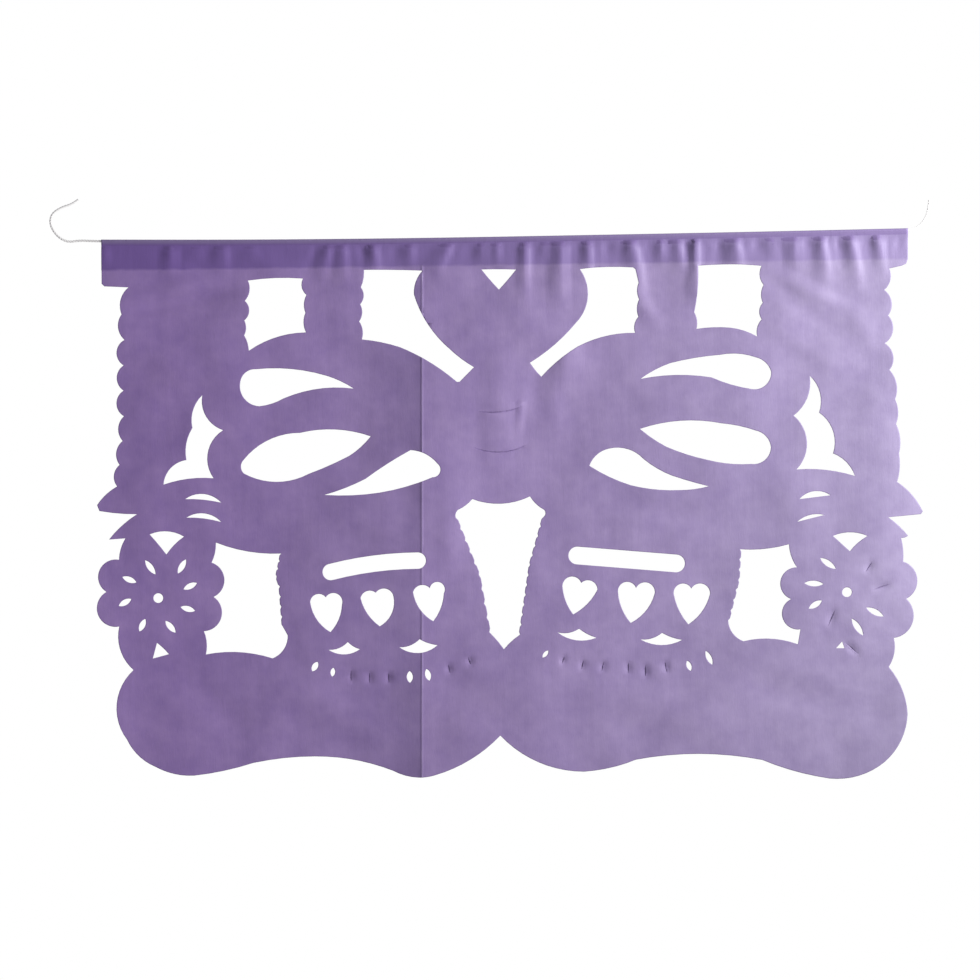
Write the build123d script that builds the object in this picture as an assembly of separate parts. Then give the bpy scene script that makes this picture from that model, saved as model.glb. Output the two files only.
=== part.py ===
from build123d import *
from math import radians, tan
import os

# A cut tissue-paper bunting panel, hung by a string that runs through its rolled top edge.
# X runs along the string, the pattern faces -Y, Z is up.
# The origin is the middle of the string, halfway along the top edge. Millimetres.

# The sheet
PAPER = 0.25
HEM_SKEW = 0.8
SHEET_HALF_WIDTH = 262.0
SHEET_DROP = 332.0

# The rolled top edge and the flap glued down behind it
STRING_DIAMETER = 1.5
STRING_RADIUS = STRING_DIAMETER / 2
STRING_SIDES = 14
ROLL_RADIUS = STRING_RADIUS + PAPER
TUNNEL_TIP = 2.2
SEAM_DROP = 2.4
FLAP_DROP = 17.5
KNIFE_REACH = 20.0

# The cut pattern, in the photographed panel's own grid: x to the right, drop down from the string
ABOVE_ROLL = -6.0
SMALL_BITE = 0.8
BITE_CORNER = 0.25
FLOWER_EYE_RADIUS = 2.9
OPEN_SLIT_WIDTH = 3.4
SHUT_SLIT_WIDTH = 0.5

# Gathers: where the paper bunches on the string, each fold stands out from the sheet and fades below.
# Each is (place along the string, half width, height towards the viewer, lower end, lean).
GATHERS = [
    (-212.0, 6.0, 0.9, 26.0, 0.0),
    (-198.0, 7.0, 1.0, 24.0, 0.0),
    (-165.0, 6.0, 0.8, 22.0, 0.0),
    (-116.0, 6.5, 1.2, 25.0, -0.25),
    (-95.0, 5.0, 0.9, 30.0, 0.0),
    (-84.5, 5.0, 1.2, 24.0, 0.0),
    (-36.0, 7.0, 1.1, 22.0, -0.3),
    (-12.0, 4.5, 0.9, 20.0, 0.0),
    (-3.0, 4.0, 0.9, 20.0, 0.0),
    (15.0, 4.5, 1.3, 42.0, 0.0),
    (36.0, 6.5, 1.3, 42.0, 0.0),
    (53.0, 4.5, 1.1, 24.0, 0.0),
    (80.0, 5.5, 1.2, 36.0, 0.1),
    (98.0, 4.5, 0.9, 22.0, 0.0),
    (112.5, 4.5, 1.2, 40.0, 0.0),
    (122.0, 4.5, 0.9, 22.0, 0.0),
    (143.0, 6.5, 1.1, 24.0, 0.0),
    (160.0, 4.5, 0.8, 20.0, 0.0),
    (176.0, 4.5, 1.0, 26.0, 0.0),
    (195.0, 5.5, 1.1, 30.0, 0.15),
    (210.0, 5.0, 1.0, 34.0, 0.2),
    (225.0, 5.0, 1.0, 24.0, 0.0),
]
GATHER_PEAK = 0.25

# The crease left by the fold the panel was packed with, from below the flap to past the bottom edge
CREASE = (-50.2, 3.0, 0.4, 1500.0, -tan(radians(HEM_SKEW)))
CREASE_TOP = 20.0
CREASE_PEAK = 0.1

# The string: straight through the roll, with a tail left at each end, as (x, y, z)
STRING_ROUTE = [
    (-256.3, 0.0, 25.0),
    (-259.8, -0.8, 22.3),
    (-266.5, -2.0, 20.3),
    (-272.3, -2.8, 16.3),
    (-273.2, -2.8, 10.0),
    (-269.2, -2.2, 3.2),
    (-263.0, -1.2, -0.6),
    (-255.5, -0.4, 0.5),
    (-247.0, 0.0, 0.0),
    (245.5, 0.0, 0.0),
    (251.3, 0.6, 5.2),
    (254.0, 1.4, 11.8),
    (254.6, 1.8, 18.0),
]
BEND_SHARE = 0.45


def on_sheet(x, drop):
    return Vector(x, -drop)


def arcs(*corners):
    """Edges through (x, drop, bulge) corners. A bulge of 0 is a straight cut, and any other is an arc
    that stands that far off its chord, to the left of the way the knife travels if positive."""
    edges = []
    for (x, drop, bulge), (next_x, next_drop, _) in zip(corners, corners[1:]):
        start = on_sheet(x, drop)
        end = on_sheet(next_x, next_drop)
        edges.append(SagittaArc(start, end, bulge) if bulge else Line(start, end))
    return edges


def closed(*corners):
    return Face(Wire(arcs(*corners, corners[0])))


def bends(*spots):
    """Arcs that each start at one spot, pass through the next and end at the one after it."""
    places = [on_sheet(x, drop) for x, drop in spots]
    return [ThreePointArc(*three) for three in zip(places[::2], places[1::2], places[2::2])]


def bites(start, end, count, depth):
    """A row of equal nibbles along a straight cut, each of three straight snips. They stand to the
    left of the way the knife travels if depth is positive."""
    first = on_sheet(*start)
    step = (on_sheet(*end) - first) / count
    aside = Vector(-step.Y, step.X).normalized() * depth
    points = [first]
    for bite in range(count):
        points.append(first + step * (bite + BITE_CORNER) + aside)
        points.append(first + step * (bite + 1 - BITE_CORNER) + aside)
        points.append(first + step * (bite + 1))
    return [Line(a, b) for a, b in zip(points, points[1:])]


def shape(*runs):
    """A face inside several runs of edges that follow each other."""
    return Face(Wire([edge for edges in runs for edge in edges]))


def slit(start, end, width):
    """A lens-shaped slit: one cut and its mirror image, meeting at both ends."""
    return closed((*start, width / 2), (*end, width / 2))


def heart(notch, right_lobe, tip, left_lobe):
    """A heart of two lobes, which meet in the notch at the top and in the tip below."""
    return shape(bends(notch, *right_lobe, tip), bends(tip, *left_lobe, notch))


def outer_edge():
    right_side = arcs(
        (-242.9, ABOVE_ROLL, 0),
        (241.2, ABOVE_ROLL, 0),
        (241.2, 14.0, 0),
        (240.2, 16.9, 0),
        (237.6, 18.1, 0),
        (230.1, 19.8, 2.2),
        (227.1, 32.7, 3.3),
        (229.4, 48.0, 4.0),
        (227.4, 64.7, 3.7),
        (230.2, 80.7, 2.6),
        (233.4, 98.4, 1.6),
        (234.0, 113.1, 1.6),
        (235.7, 130.8, 1.0),
        (234.6, 147.9, 1.6),
        (250.2, 165.6, 0),
        (249.0, 167.2, 0),
        (229.2, 169.1, 0.6),
        (241.2, 180.2, 0.4),
        (237.0, 181.5, 0.6),
        (238.3, 195.7, 7.7),
        (240.2, 218.0, 8.0),
        (232.8, 241.5, 1.8),
        (229.8, 258.9, 0),
    )
    right_foot = bends(
        (229.8, 258.9),
        (237.7, 271.9),
        (241.1, 287.0),
        (237.2, 303.0),
        (227.4, 315.9),
        (213.0, 323.9),
        (194.4, 326.0),
        (177.0, 322.5),
        (153.8, 314.7),
        (111.0, 311.0),
        (78.0, 314.4),
        (62.0, 319.4),
        (46.8, 321.6),
        (22.4, 317.0),
        (-3.4, 299.8),
    )
    left_foot = bends(
        (-3.4, 299.8),
        (-24.2, 315.9),
        (-42.0, 323.4),
        (-54.0, 324.9),
        (-67.6, 321.1),
        (-87.6, 315.3),
        (-114.8, 312.6),
        (-135.0, 313.8),
        (-151.5, 316.5),
        (-168.0, 321.0),
        (-187.0, 324.1),
        (-200.0, 322.9),
        (-210.3, 318.9),
        (-220.3, 312.4),
        (-227.4, 302.5),
        (-233.6, 282.9),
        (-223.5, 260.8),
    )
    left_side = arcs(
        (-223.5, 260.8, 3.8),
        (-232.0, 234.7, 9.4),
        (-239.7, 213.9, 8.6),
        (-232.2, 194.6, 0.9),
        (-228.4, 181.8, 0),
        (-238.2, 182.5, 1.0),
        (-221.4, 167.3, 0.5),
        (-244.0, 165.4, 0),
        (-245.4, 161.8, 1.0),
        (-233.4, 150.6, 2.7),
        (-231.9, 137.7, 3.0),
        (-230.1, 123.3, 3.1),
        (-229.3, 108.5, 4.4),
        (-229.6, 93.1, 4.1),
        (-229.5, 78.0, 4.5),
        (-228.9, 62.7, 3.0),
        (-230.7, 47.4, 2.7),
        (-226.5, 31.2, 0),
        (-241.0, 30.6, 0),
        (-242.6, 29.0, 0),
        (-242.9, ABOVE_ROLL, 0),
    )
    return Wire(right_side + right_foot + left_foot + left_side)


def heart_and_bow_windows():
    left_inner = shape(
        arcs((-85.2, 20.7, 0.3), (-50.1, 21.2, 0)),
        bends(
            (-50.1, 21.2),
            (-54.2, 28.0),
            (-55.2, 35.5),
            (-48.9, 50.1),
            (-33.6, 68.5),
            (-26.7, 74.3),
            (-19.2, 79.2),
        ),
        arcs((-19.2, 79.2, 0), (-27.8, 88.0, 0), (-29.4, 88.0, 0)),
        bends((-29.4, 88.0), (-45.6, 76.2), (-63.6, 67.1), (-75.0, 64.1), (-86.4, 62.4)),
        arcs(
            (-86.4, 62.4, -1.3),
            (-88.0, 51.6, -1.5),
            (-87.4, 41.3, -1.9),
            (-87.0, 31.2, -0.7),
            (-85.2, 20.7, 0),
        ),
    )
    right_inner = shape(
        arcs(
            (44.4, 20.4, 0.9),
            (76.2, 19.3, 0),
            (77.6, 20.4, 0),
            (79.5, 28.5, -1.1),
            (79.8, 38.4, -1.1),
            (79.4, 48.9, -1.4),
            (77.4, 58.5, 0),
        ),
        bends((77.4, 58.5), (60.6, 60.2), (43.2, 66.6), (29.4, 76.7), (21.2, 84.8)),
        arcs((21.2, 84.8, 0.3), (14.4, 76.5, 0)),
        bends((14.4, 76.5), (28.8, 66.0), (42.0, 52.5), (49.0, 38.1), (44.4, 20.4)),
    )
    left_outer = closed(
        (-154.8, 27.1, 0.9),
        (-121.8, 25.9, -1.8),
        (-119.7, 35.7, -1.2),
        (-120.3, 46.5, -1.3),
        (-120.0, 58.2, -2.7),
        (-154.2, 69.2, -0.6),
        (-157.0, 60.0, -1.1),
        (-156.9, 51.0, -2.8),
        (-156.6, 39.3, -1.9),
    )
    right_outer = closed(
        (115.2, 18.2, 0.9),
        (153.3, 18.3, -1.8),
        (154.5, 29.7, -1.3),
        (154.0, 40.5, -1.8),
        (153.3, 50.4, -1.4),
        (150.6, 60.7, -0.9),
        (134.4, 55.4, -0.6),
        (114.3, 56.1, -1.0),
        (113.0, 46.2, -0.9),
    )
    notch = closed((-14.7, 20.5, 0.2), (6.0, 20.6, 0.2), (-4.2, 32.6, 0.2))
    return [left_inner, right_inner, left_outer, right_outer, notch]


def bow_leaves():
    left_top = bends(
        (-91.4, 91.9),
        (-111.0, 91.8),
        (-133.2, 97.7),
        (-141.0, 101.1),
        (-147.8, 102.5),
        (-157.2, 97.5),
        (-159.3, 88.2),
        (-156.6, 82.7),
        (-150.0, 80.3),
        (-129.6, 80.1),
        (-107.5, 84.3),
        (-99.0, 87.6),
        (-91.4, 91.9),
    )
    left_middle = bends(
        (-81.1, 120.6),
        (-87.3, 127.2),
        (-94.0, 132.3),
        (-106.5, 138.3),
        (-118.4, 143.1),
        (-142.9, 147.5),
        (-157.2, 142.8),
        (-158.9, 139.0),
        (-157.2, 134.6),
        (-144.0, 123.6),
        (-123.4, 118.5),
        (-97.0, 116.9),
        (-81.1, 120.6),
    )
    left_low = bends(
        (-108.7, 155.7),
        (-96.4, 151.6),
        (-84.2, 146.1),
        (-70.3, 136.6),
        (-57.2, 128.9),
        (-47.5, 131.6),
        (-41.0, 137.0),
        (-39.3, 141.2),
        (-44.0, 145.1),
        (-58.0, 150.2),
        (-75.6, 154.3),
        (-92.0, 155.9),
        (-108.7, 155.7),
    )
    right_top = bends(
        (80.7, 86.1),
        (89.5, 80.6),
        (98.4, 76.7),
        (113.0, 73.6),
        (128.4, 71.7),
        (140.0, 71.1),
        (150.0, 73.3),
        (156.2, 76.9),
        (159.0, 81.9),
        (156.5, 89.0),
        (147.1, 92.2),
        (134.5, 89.4),
        (123.2, 85.2),
        (98.0, 83.9),
        (80.7, 86.1),
    )
    right_middle = bends(
        (80.4, 116.1),
        (103.7, 111.3),
        (129.4, 112.8),
        (141.0, 114.6),
        (150.0, 117.2),
        (156.8, 121.6),
        (158.9, 127.1),
        (156.0, 134.0),
        (147.0, 137.1),
        (134.5, 137.0),
        (121.0, 134.7),
        (108.5, 131.4),
        (96.0, 126.7),
        (88.0, 121.9),
        (80.4, 116.1),
    )
    right_low = bends(
        (50.1, 138.2),
        (54.5, 131.6),
        (62.0, 127.9),
        (73.5, 128.4),
        (82.4, 134.1),
        (90.5, 139.8),
        (99.4, 144.1),
        (110.5, 147.6),
        (121.5, 150.5),
        (113.0, 152.2),
        (104.0, 152.8),
        (89.5, 152.4),
        (75.0, 149.9),
        (61.5, 144.6),
        (50.1, 138.2),
    )
    leaves = [left_top, left_middle, left_low, right_top, right_middle, right_low]
    return [shape(leaf) for leaf in leaves]


def side_crescents():
    left = closed(
        (-182.2, 95.9, -4.6),
        (-169.6, 116.9, -6.4),
        (-175.4, 145.7, -1.6),
        (-205.4, 149.5, 3.6),
        (-191.6, 134.8, 1.9),
        (-188.0, 115.5, 2.7),
    )
    right = closed(
        (182.3, 84.3, 3.4),
        (187.8, 106.3, 4.3),
        (196.1, 130.8, 2.1),
        (209.2, 144.3, -1.7),
        (174.3, 140.4, -7.1),
        (172.6, 108.1, -3.6),
    )
    left_leaf_cuts = [
        closed((-192.3, 158.2, 4.1), (-170.9, 160.3, -0.7)),
        closed((-191.6, 169.3, 3.8), (-170.9, 171.9, -0.8)),
    ]
    right_leaf_cuts = [
        closed((175.9, 158.2, 3.6), (194.5, 155.9, 0)),
        closed((174.6, 171.8, 2.1), (190.8, 167.7, 0)),
    ]
    return [left, right] + left_leaf_cuts + right_leaf_cuts


def flower_cuts():
    left_fan = closed((-213.7, 179.4, 2.5), (-193.2, 180.7, -0.7), (-203.7, 191.4, -0.2))
    right_fan = closed((196.1, 180.3, 2.2), (216.6, 180.3, -0.7), (206.1, 189.4, 0))
    left_slits = [
        ((-216.4, 194.9), (-210.3, 203.4)),
        ((-192.0, 194.4), (-196.8, 202.8)),
        ((-230.1, 204.9), (-221.7, 208.2)),
        ((-185.4, 208.5), (-193.4, 212.3)),
        ((-232.2, 222.3), (-224.8, 218.1)),
        ((-195.2, 222.9), (-186.6, 225.3)),
        ((-216.4, 230.1), (-219.9, 237.6)),
        ((-204.3, 231.3), (-198.3, 238.4)),
    ]
    right_open_slits = [
        ((188.4, 193.5), (197.6, 200.0)),
        ((178.8, 208.5), (190.2, 209.1)),
        ((181.5, 223.8), (189.3, 219.0)),
        ((207.3, 229.8), (214.2, 240.0)),
        ((216.0, 223.2), (226.5, 228.6)),
    ]
    right_shut_slits = [
        ((215.7, 201.9), (219.6, 195.9)),
        ((220.2, 212.6), (231.0, 209.0)),
        ((193.2, 234.3), (197.4, 224.7)),
        ((202.9, 243.9), (212.4, 252.3)),
    ]
    left_eye = Pos(-208.6, -217.6) * Circle(FLOWER_EYE_RADIUS)
    right_eye = Pos(204.4, -214.0) * Circle(FLOWER_EYE_RADIUS)
    left_wedge = closed((-209.4, 244.5, 0.3), (-202.3, 251.3, 0), (-211.9, 253.9, 0))
    right_wedge = closed((201.6, 243.6, 0), (203.0, 247.6, 0), (198.0, 247.6, 0))
    open_slits = [slit(start, end, OPEN_SLIT_WIDTH) for start, end in left_slits + right_open_slits]
    shut_slits = [slit(start, end, SHUT_SLIT_WIDTH) for start, end in right_shut_slits]
    middles = [left_fan, right_fan, left_eye.face(), right_eye.face(), left_wedge, right_wedge]
    return middles + open_slits + shut_slits


def windows_beside_bells():
    left = shape(
        arcs(
            (-181.2, 237.5, -7.8),
            (-175.4, 216.9, -7.1),
            (-176.6, 196.3, -0.8),
            (-174.0, 184.3, -2.1),
            (-134.8, 190.9, 0),
        ),
        bites((-134.8, 190.9), (-137.6, 204.6), 3, -SMALL_BITE),
        bites((-137.6, 204.6), (-135.6, 210.6), 1, -SMALL_BITE),
        bites((-135.6, 210.6), (-133.7, 234.9), 4, -SMALL_BITE),
        arcs((-133.7, 234.9, 0), (-130.9, 239.9, 2.6), (-139.9, 253.7, 0)),
        bends((-139.9, 253.7), (-160.0, 250.0), (-180.0, 251.4)),
        arcs((-180.0, 251.4, -1.1), (-181.2, 237.5, 0)),
    )
    right = shape(
        arcs(
            (140.4, 188.3, -1.3),
            (169.6, 185.3, -1.1),
            (174.4, 199.1, -8.2),
            (170.8, 218.1, -8.2),
            (176.5, 236.3, 0),
            (175.0, 245.2, 0),
        ),
        bends((175.0, 245.2), (157.5, 241.8), (142.4, 243.4)),
        bends((142.4, 243.4), (135.0, 237.0), (133.3, 230.9)),
        bites((133.3, 230.9), (139.4, 206.5), 4, -SMALL_BITE),
        bites((139.4, 206.5), (140.4, 188.3), 3, -SMALL_BITE),
    )
    return [left, right]


def centre_opening():
    return shape(
        arcs((-20.2, 158.2, -3.6), (14.4, 156.6, -0.8), (22.8, 164.6, 1.0), (22.5, 168.9, 0)),
        bites((22.5, 168.9), (14.4, 197.8), 5, -SMALL_BITE),
        bites((14.4, 197.8), (8.4, 239.4), 7, -SMALL_BITE),
        arcs((8.4, 239.4, -0.5), (-1.2, 248.1, -0.3), (-9.9, 237.9, 0)),
        bites((-9.9, 237.9), (-16.2, 203.6), 4, -SMALL_BITE),
        bites((-16.2, 203.6), (-30.0, 169.4), 5, -SMALL_BITE),
        arcs((-30.0, 169.4, 0.8), (-28.6, 164.6, -0.6), (-20.2, 158.2, 0)),
    )


def bell_slots():
    left_line = SagittaArc(on_sheet(-105.0, 201.9), on_sheet(-52.8, 195.0), 1.6)
    left = SlotArc(left_line, 9.8)
    right = Pos(72.4, -194.4) * SlotCenterToCenter(59.4, 10.6, rotation=-4.6)
    return [left.face(), right.face()]


def bell_hearts():
    left_bell = [
        heart(
            (-108.0, 217.1),
            [(-102.9, 214.5), (-98.3, 221.5), (-100.7, 231.3)],
            (-105.2, 237.9),
            [(-114.0, 229.3), (-117.3, 219.9), (-113.7, 215.3)],
        ),
        heart(
            (-78.0, 214.3),
            [(-72.0, 211.9), (-67.4, 216.5), (-67.4, 223.4)],
            (-75.6, 234.4),
            [(-82.8, 227.1), (-87.1, 217.5), (-82.8, 213.2)],
        ),
        heart(
            (-45.6, 211.6),
            [(-39.8, 208.0), (-37.2, 214.5), (-39.2, 223.8)],
            (-43.5, 231.3),
            [(-51.6, 223.9), (-55.6, 213.9), (-51.0, 209.7)],
        ),
    ]
    right_bell = [
        heart(
            (45.1, 208.5),
            [(49.8, 206.9), (54.8, 212.6), (49.2, 220.5)],
            (40.3, 227.3),
            [(36.0, 219.7), (33.9, 210.7), (38.9, 204.7)],
        ),
        heart(
            (78.0, 211.6),
            [(84.3, 208.2), (89.2, 214.6), (83.6, 225.5)],
            (74.8, 232.4),
            [(69.6, 224.0), (67.2, 213.9), (72.0, 207.9)],
        ),
        heart(
            (111.2, 211.9),
            [(117.3, 208.9), (122.4, 215.1), (117.1, 226.2)],
            (109.4, 233.3),
            [(103.8, 224.7), (100.6, 214.9), (105.6, 208.9)],
        ),
    ]
    return left_bell + right_bell


def bell_lips():
    places = [
        ((-106.2, 248.6), (-94.8, 243.9), (-87.6, 248.2), 2.9),
        ((-63.8, 247.0), (-51.7, 242.1), (-41.0, 245.7), 4.0),
        ((31.0, 238.1), (43.8, 235.9), (54.2, 241.3), 3.1),
        ((80.8, 242.4), (93.6, 238.5), (105.6, 242.7), 3.2),
    ]
    lips = []
    for left, peak, right, depth in places:
        lips.append(closed((*left, -1.4), (*peak, -0.6), (*right, depth)))
    return lips


def bell_rim_slits():
    open_slits = [
        ((-116.1, 261.4), (-112.9, 255.8), 3.4),
        ((-104.1, 264.6), (-103.5, 259.3), 2.7),
        ((-57.5, 268.2), (-57.7, 261.2), 3.6),
        ((-45.8, 266.9), (-47.6, 259.9), 3.4),
        ((22.0, 253.1), (25.3, 248.9), 2.3),
        ((110.9, 261.2), (108.7, 255.2), 2.8),
        ((123.8, 257.5), (119.8, 249.3), 3.0),
    ]
    shut_slits = [
        ((-92.8, 267.6), (-92.8, 261.0)),
        ((-81.7, 268.6), (-81.7, 261.8)),
        ((-70.2, 268.4), (-70.2, 262.0)),
        ((-33.4, 262.6), (-34.6, 257.2)),
        ((-21.0, 257.4), (-22.6, 253.0)),
        ((33.6, 256.9), (35.0, 252.3)),
        ((45.2, 260.3), (46.6, 254.7)),
        ((57.4, 261.4), (58.8, 255.6)),
        ((73.4, 262.6), (73.4, 256.0)),
        ((83.8, 264.8), (83.8, 257.8)),
        ((96.6, 262.2), (95.4, 255.8)),
    ]
    wide = [slit(start, end, width) for start, end, width in open_slits]
    narrow = [slit(start, end, SHUT_SLIT_WIDTH) for start, end in shut_slits]
    return wide + narrow


def knot_slits():
    upper = closed((-16.8, 105.6, -2.4), (10.1, 102.4, 1.9))
    lower = closed((-20.5, 126.9, -4.3), (12.5, 125.5, 3.8))
    return [upper, lower]


def openings():
    faces = [centre_opening()]
    for group in (
        heart_and_bow_windows,
        bow_leaves,
        side_crescents,
        flower_cuts,
        windows_beside_bells,
        bell_slots,
        bell_hearts,
        bell_lips,
        bell_rim_slits,
        knot_slits,
    ):
        faces += group()
    return faces


def through_sheet(face):
    """A cut straight through the hanging sheet, turned so that the skewed top edge lies level."""
    return extrude(Plane.XZ * Rot(0, 0, -HEM_SKEW) * face, amount=KNIFE_REACH, both=True)


def fold(place, half_width, height, lower_end, lean, top=SEAM_DROP, peak=GATHER_PEAK):
    """The space under one crisp fold of the sheet: four flat facets that rise to a point near its top
    end. It stands on the back of the sheet."""
    widest = top + peak * (lower_end - top)
    corners = [
        (place, top),
        (place + lean * (widest - top) + half_width, widest),
        (place + lean * (lower_end - top), lower_end),
        (place + lean * (widest - top) - half_width, widest),
    ]
    rim = [Vector(x, 0, -drop) for x, drop in corners]
    summit = Vector(place + lean * (widest - top), -height, -widest)
    facets = [Face(Wire.make_polygon([a, b, summit])) for a, b in zip(rim, rim[1:] + rim[:1])]
    return Solid(Shell(facets + [Face(Wire.make_polygon(rim))]))


def paper_sheet():
    """The front of the sheet with its folds, and the glued flap that follows them behind."""
    width = 2 * SHEET_HALF_WIDTH
    front_drop = SHEET_DROP - SEAM_DROP
    front = Pos(0, -PAPER / 2, -SEAM_DROP - front_drop / 2) * Box(width, PAPER, front_drop)
    flap_height = FLAP_DROP - SEAM_DROP
    flap = Pos(0, PAPER / 2, -SEAM_DROP - flap_height / 2) * Box(width, PAPER, flap_height)
    flap_zone = Pos(0, 0, -SEAM_DROP - flap_height / 2) * Box(width, 2 * KNIFE_REACH, flap_height)
    folds = [fold(*gather) for gather in GATHERS]
    folds.append(fold(*CREASE, top=CREASE_TOP, peak=CREASE_PEAK))
    raised = [Pos(0, -PAPER, 0) * space for space in folds]
    single = [space - flap_zone for space in folds]
    double = [(Pos(0, PAPER, 0) * space) & flap_zone for space in folds[:-1]]
    return (front + flap + raised) - single - double


def rolled_edge():
    """The roll round the string: a drop-shaped tunnel, whose two sides lean in and meet at the seam."""
    lean = (TUNNEL_TIP**2 - STRING_RADIUS**2) ** 0.5
    touch_y = STRING_RADIUS * lean / TUNNEL_TIP
    touch_z = -(STRING_RADIUS**2) / TUNNEL_TIP
    grow = ROLL_RADIUS / STRING_RADIUS
    outer_y = touch_y * grow
    outer_z = touch_z * grow
    outside = [
        Line((-PAPER, -SEAM_DROP), (-outer_y, outer_z)),
        ThreePointArc((-outer_y, outer_z), (0, ROLL_RADIUS), (outer_y, outer_z)),
        Line((outer_y, outer_z), (PAPER, -SEAM_DROP)),
        Line((PAPER, -SEAM_DROP), (-PAPER, -SEAM_DROP)),
    ]
    tunnel = [
        Line((0, -TUNNEL_TIP), (-touch_y, touch_z)),
        ThreePointArc((-touch_y, touch_z), (0, STRING_RADIUS), (touch_y, touch_z)),
        Line((touch_y, touch_z), (0, -TUNNEL_TIP)),
    ]
    section = Face(Wire(outside), [Wire(tunnel)])
    return extrude(Plane.YZ * section, amount=SHEET_HALF_WIDTH, both=True)


def paper_panel():
    blank = (paper_sheet() + rolled_edge()) & through_sheet(Face(outer_edge()))
    return blank - [through_sheet(opening) for opening in openings()]


def string_path():
    """Straight runs joined by arcs, each as large as its two runs allow."""
    points = [Vector(*point) for point in STRING_ROUTE]
    radii = []
    for before, corner, after in zip(points, points[1:], points[2:]):
        turn = (corner - before).get_angle(after - corner)
        shorter = min((corner - before).length, (after - corner).length)
        radii.append(BEND_SHARE * shorter / tan(radians(turn / 2)))
    print("string bend radii", [round(radius, 1) for radius in radii])
    return FilletPolyline(*points, radius=radii)


def hanging_string():
    path = string_path()
    start = Plane(origin=path @ 0, z_dir=path % 0)
    cord = sweep(start * RegularPolygon(STRING_RADIUS, STRING_SIDES), path=path)
    section = cord.volume / path.length
    print("string length", round(path.length, 1), "section", round(section, 3))
    return cord


os.makedirs("parts", exist_ok=True)
export_step(paper_panel(), "parts/paper_panel.step")
export_step(hanging_string(), "parts/hanging_string.step")
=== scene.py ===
# %% [markdown]
# # A cut tissue-paper bunting panel on its string
# The real thing is one sheet of thin tissue, punched and cut through, with its top edge rolled round a
# cotton string and glued down behind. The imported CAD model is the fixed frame: every piece below is
# made in metres in the same place, and then stands in for its CAD node.

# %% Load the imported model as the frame
import bmesh
import bpy
import math
import numpy as np
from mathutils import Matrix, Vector, noise


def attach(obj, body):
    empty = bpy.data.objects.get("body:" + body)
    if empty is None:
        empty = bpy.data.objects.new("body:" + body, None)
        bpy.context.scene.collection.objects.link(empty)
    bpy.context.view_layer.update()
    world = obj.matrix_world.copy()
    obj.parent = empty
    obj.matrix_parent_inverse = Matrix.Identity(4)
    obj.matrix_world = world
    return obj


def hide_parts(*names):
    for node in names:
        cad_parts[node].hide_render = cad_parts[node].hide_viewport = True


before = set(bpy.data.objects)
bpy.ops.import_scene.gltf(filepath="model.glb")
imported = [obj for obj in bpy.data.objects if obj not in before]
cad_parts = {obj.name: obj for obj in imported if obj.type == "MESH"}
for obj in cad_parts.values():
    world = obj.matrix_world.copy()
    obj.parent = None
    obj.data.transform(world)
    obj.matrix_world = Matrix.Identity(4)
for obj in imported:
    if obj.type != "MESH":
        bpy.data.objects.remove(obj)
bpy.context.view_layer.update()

MM = 0.001

# %% [markdown]
# ## The camera
# The photograph was taken straight from the front, and its frame is 588 mm wide at the panel. The hem
# rises a little to the right in it, so the camera is rolled by that angle instead of tilting the panel.
# A long lens from 2.4 m away keeps the pattern free of perspective, as it is in the photograph.

# %% Camera
FRAME_WIDTH = 588 * MM
FRAME_CENTRE = Vector((-11.7, 0, -152.6)) * MM
CAMERA_DISTANCE = 2.4
HEM_ROLL = math.radians(0.8)

lens = bpy.data.cameras.new("camera")
lens.sensor_width = 36
lens.lens = lens.sensor_width * CAMERA_DISTANCE / FRAME_WIDTH
camera = bpy.data.objects.new("camera", lens)
camera.location = FRAME_CENTRE - Vector((0, CAMERA_DISTANCE, 0))
camera.rotation_euler = (math.radians(90), HEM_ROLL, 0)
bpy.context.scene.collection.objects.link(camera)
bpy.context.scene.camera = camera
bpy.context.scene.view_settings.view_transform = "Standard"
print("lens", round(lens.lens, 1), "mm")

# %% [markdown]
# ## Helpers for materials
# Colours are easiest to compare with a photograph as sRGB hex values, but shaders work in linear light,
# so one function converts them. One more adds a node, with its settings and what feeds its sockets.
# The others are for the nodes that come most often: a ramp, a sum, a noise of a real size, and a mix.

# %% Colour and node helpers
def srgb(hex_value):
    """A hex colour as linear red, green, blue and alpha."""
    parts = [int(hex_value[i:i + 2], 16) / 255 for i in (1, 3, 5)]
    linear = [p / 12.92 if p <= 0.04045 else ((p + 0.055) / 1.055) ** 2.4 for p in parts]
    return (*linear, 1)


def add_node(tree, kind, feeds=None, **settings):
    """Adds a node. feeds maps a socket's name or number to a value, or to the output that feeds it."""
    made = tree.nodes.new(kind)
    for name, value in settings.items():
        setattr(made, name, value)
    for key, value in (feeds or {}).items():
        if isinstance(value, bpy.types.NodeSocket):
            tree.links.new(value, made.inputs[key])
        else:
            made.inputs[key].default_value = value
    return made


def ramp(tree, value, low, high):
    """The output of a Map Range: 0 where the value is low, 1 where it is high."""
    return add_node(tree, "ShaderNodeMapRange", {0: value, 1: low, 2: high}).outputs[0]


def maths(tree, operation, *values, **settings):
    """The output of a Math node. Its values are numbers or outputs of other nodes."""
    feeds = dict(enumerate(values))
    return add_node(tree, "ShaderNodeMath", feeds, operation=operation, **settings).outputs[0]


def noise_of_size(tree, place, size, detail=2.0):
    """The output of a noise whose patches are about this many metres wide."""
    feeds = {"Vector": place, "Scale": 1 / size, "Detail": detail}
    return add_node(tree, "ShaderNodeTexNoise", feeds).outputs[0]


def mixed(tree, factor, first, second):
    """The output of a colour mix: the first colour at factor 0, the second at factor 1."""
    feeds = {0: factor, 6: first, 7: second}
    return add_node(tree, "ShaderNodeMix", feeds, data_type="RGBA").outputs[2]


def new_material(name):
    material = bpy.data.materials.new(name)
    material.use_nodes = True
    material.node_tree.nodes.clear()
    return material, material.node_tree


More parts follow.
